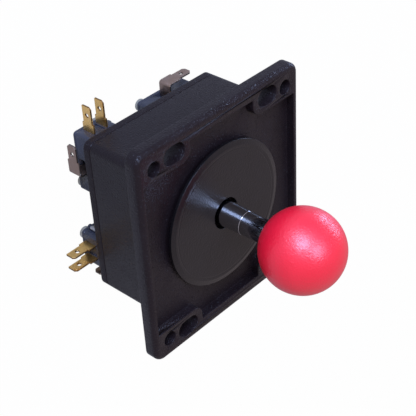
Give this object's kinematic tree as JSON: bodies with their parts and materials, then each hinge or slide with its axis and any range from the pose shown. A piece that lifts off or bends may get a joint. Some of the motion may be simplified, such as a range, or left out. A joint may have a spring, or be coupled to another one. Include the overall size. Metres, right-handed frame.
{
  "type": "arcade joystick lever",
  "caption": "Panel-mount arcade joystick: a ball-topped lever in a boxed flange with a dust washer, worked by tilting against sprung microswitches with blade terminals.",
  "frame": {"origin": "middle of the mounting face, which is the plane of the flange's rim and corner pads", "axes": "+Z along the lever towards the ball, +Y to the player's far side, +X to the right"},
  "size_m": [0.0926, 0.1006, 0.1123],
  "materials": {
    "housing_plastic": "finely textured moulding",
    "washer_plastic": "satin, with faint circular marks",
    "sleeve_steel": "polished steel tube",
    "knob_plastic": "satin gloss",
    "pivot_plastic": "smooth moulding",
    "switch_plastic": "smooth moulding, blue-black",
    "plunger_plastic": "smooth moulding",
    "steel": "ground",
    "zinc": "zinc plated",
    "brass": "stamped sheet",
    "tinned_brass": "stamped sheet, tin plated"
  },
  "bodies": {
    "base": {"housing": "housing_plastic", "rear_plate": "housing_plastic", "dust_washer": "washer_plastic", "arm_pins": "steel", "switch_screws": "zinc", "plate_screws": "zinc", "left_switch_case": "switch_plastic", "left_switch_cover": "switch_plastic", "left_open_terminal": "brass", "left_closed_terminal": "brass", "left_common_terminal": "tinned_brass", "back_switch_case": "switch_plastic", "back_switch_cover": "switch_plastic", "back_open_terminal": "brass", "back_closed_terminal": "brass", "back_common_terminal": "tinned_brass", "right_switch_case": "switch_plastic", "right_switch_cover": "switch_plastic", "right_open_terminal": "brass", "right_closed_terminal": "brass", "right_common_terminal": "tinned_brass", "front_switch_case": "switch_plastic", "front_switch_cover": "switch_plastic", "front_open_terminal": "brass", "front_closed_terminal": "brass", "front_common_terminal": "tinned_brass"},
    "pivot": {"pivot_ball": "pivot_plastic", "pivot_pin": "steel"},
    "lever": {"lever_shaft": "steel", "lever_sleeve": "sleeve_steel", "ball_knob": "knob_plastic", "spring_seat": "pivot_plastic", "centring_spring": "steel", "actuator": "pivot_plastic", "retaining_clip": "steel"},
    "left_plunger": {"left_switch_plunger": "plunger_plastic"},
    "left_arm": {"left_switch_arm": "steel"},
    "back_plunger": {"back_switch_plunger": "plunger_plastic"},
    "back_arm": {"back_switch_arm": "steel"},
    "right_plunger": {"right_switch_plunger": "plunger_plastic"},
    "right_arm": {"right_switch_arm": "steel"},
    "front_plunger": {"front_switch_plunger": "plunger_plastic"},
    "front_arm": {"front_switch_arm": "steel"}
  },
  "joints": [
    {"name": "sideways_tilt", "type": "hinge", "parent": "base", "child": "pivot", "pos_m": [0, 0, -0.007], "axis": [0, 1, 0], "range_deg": [-7, 7], "stiffness_Nm_per_rad": 0.5},
    {"name": "forward_tilt", "type": "hinge", "parent": "pivot", "child": "lever", "pos_m": [0, 0, -0.007], "axis": [1, 0, 0], "range_deg": [-7, 7], "stiffness_Nm_per_rad": 0.5},
    {"name": "left_plunger_slide", "type": "slide", "parent": "base", "child": "left_plunger", "axis": [-1, 0, 0], "range_m": [-0.0012, 0.0012]},
    {"name": "left_arm_hinge", "type": "hinge", "parent": "base", "child": "left_arm", "pos_m": [-0.01315, 0.03, -0.0489], "axis": [0, 0, 1], "range_deg": [-4.25, 4.25]},
    {"name": "back_plunger_slide", "type": "slide", "parent": "base", "child": "back_plunger", "axis": [0, 1, 0], "range_m": [-0.0012, 0.0012]},
    {"name": "back_arm_hinge", "type": "hinge", "parent": "base", "child": "back_arm", "pos_m": [0.03, 0.01315, -0.0489], "axis": [0, 0, 1], "range_deg": [-4.25, 4.25]},
    {"name": "right_plunger_slide", "type": "slide", "parent": "base", "child": "right_plunger", "axis": [1, 0, 0], "range_m": [-0.0012, 0.0012]},
    {"name": "right_arm_hinge", "type": "hinge", "parent": "base", "child": "right_arm", "pos_m": [0.01315, -0.03, -0.0489], "axis": [0, 0, 1], "range_deg": [-4.25, 4.25]},
    {"name": "front_plunger_slide", "type": "slide", "parent": "base", "child": "front_plunger", "axis": [0, -1, 0], "range_m": [-0.0012, 0.0012]},
    {"name": "front_arm_hinge", "type": "hinge", "parent": "base", "child": "front_arm", "pos_m": [-0.03, -0.01315, -0.0489], "axis": [0, 0, 1], "range_deg": [-4.25, 4.25]}
  ],
  "couplings": [
    {"joint": "left_plunger_slide", "follows": "sideways_tilt", "m_per_rad": 0.0097},
    {"joint": "left_arm_hinge", "follows": "sideways_tilt", "ratio": -0.59876},
    {"joint": "back_plunger_slide", "follows": "forward_tilt", "m_per_rad": 0.0097},
    {"joint": "back_arm_hinge", "follows": "forward_tilt", "ratio": -0.59876},
    {"joint": "right_plunger_slide", "follows": "sideways_tilt", "m_per_rad": -0.0097},
    {"joint": "right_arm_hinge", "follows": "sideways_tilt", "ratio": 0.59876},
    {"joint": "front_plunger_slide", "follows": "forward_tilt", "m_per_rad": -0.0097},
    {"joint": "front_arm_hinge", "follows": "forward_tilt", "ratio": 0.59876}
  ]
}
